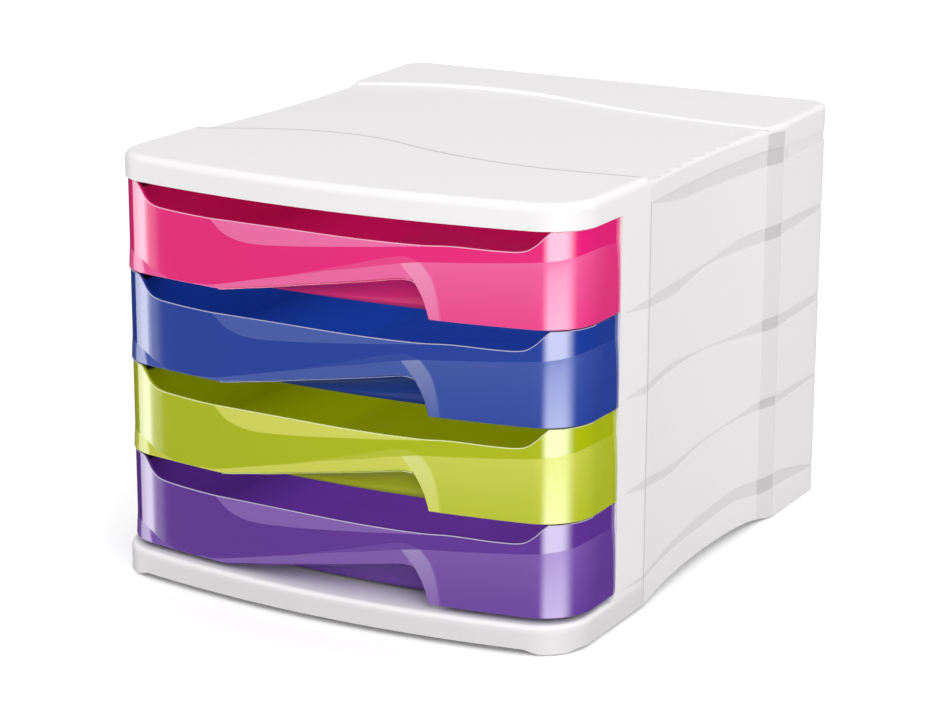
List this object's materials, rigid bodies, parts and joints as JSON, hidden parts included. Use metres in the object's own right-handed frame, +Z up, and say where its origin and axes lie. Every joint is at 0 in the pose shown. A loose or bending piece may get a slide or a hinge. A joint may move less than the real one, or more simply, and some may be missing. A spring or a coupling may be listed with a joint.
{
  "type": "desktop drawer organizer",
  "caption": "Desktop drawer organizer with a white casing, a bowed front and sliding trays with wavy lips and scooped finger arches.",
  "frame": {"origin": "on the floor, below the middle of the whole object's outline", "axes": "+X to the right seen from the front, +Y to the back, +Z up"},
  "size_m": [0.29, 0.354, 0.2419],
  "materials": {
    "casing_white": "moulded, low gloss",
    "runner_white": "moulded, matte",
    "foot_grey": "soft, matte",
    "drawer_pink": "moulded, high gloss",
    "drawer_blue": "moulded, high gloss",
    "drawer_green": "moulded, high gloss",
    "drawer_purple": "moulded, high gloss"
  },
  "bodies": {
    "casing": {"front_frame": "casing_white", "top_cover": "casing_white", "left_side_panel": "casing_white", "right_side_panel": "casing_white", "back_panel": "casing_white", "base_panel": "casing_white", "left_runner_rack": "runner_white", "right_runner_rack": "runner_white", "front_left_foot_pad": "foot_grey", "front_right_foot_pad": "foot_grey", "rear_left_foot_pad": "foot_grey", "rear_right_foot_pad": "foot_grey"},
    "drawer_1": {"drawer_1_tray": "drawer_pink", "drawer_1_front": "drawer_pink"},
    "drawer_2": {"drawer_2_tray": "drawer_blue", "drawer_2_front": "drawer_blue"},
    "drawer_3": {"drawer_3_tray": "drawer_green", "drawer_3_front": "drawer_green"},
    "drawer_4": {"drawer_4_tray": "drawer_purple", "drawer_4_front": "drawer_purple"}
  },
  "joints": [
    {"name": "drawer_1_slide", "type": "slide", "parent": "casing", "child": "drawer_1", "axis": [0, -1, 0], "range_m": [0, 0.257]},
    {"name": "drawer_2_slide", "type": "slide", "parent": "casing", "child": "drawer_2", "axis": [0, -1, 0], "range_m": [0, 0.257]},
    {"name": "drawer_3_slide", "type": "slide", "parent": "casing", "child": "drawer_3", "axis": [0, -1, 0], "range_m": [0, 0.257]},
    {"name": "drawer_4_slide", "type": "slide", "parent": "casing", "child": "drawer_4", "axis": [0, -1, 0], "range_m": [0, 0.257]}
  ]
}
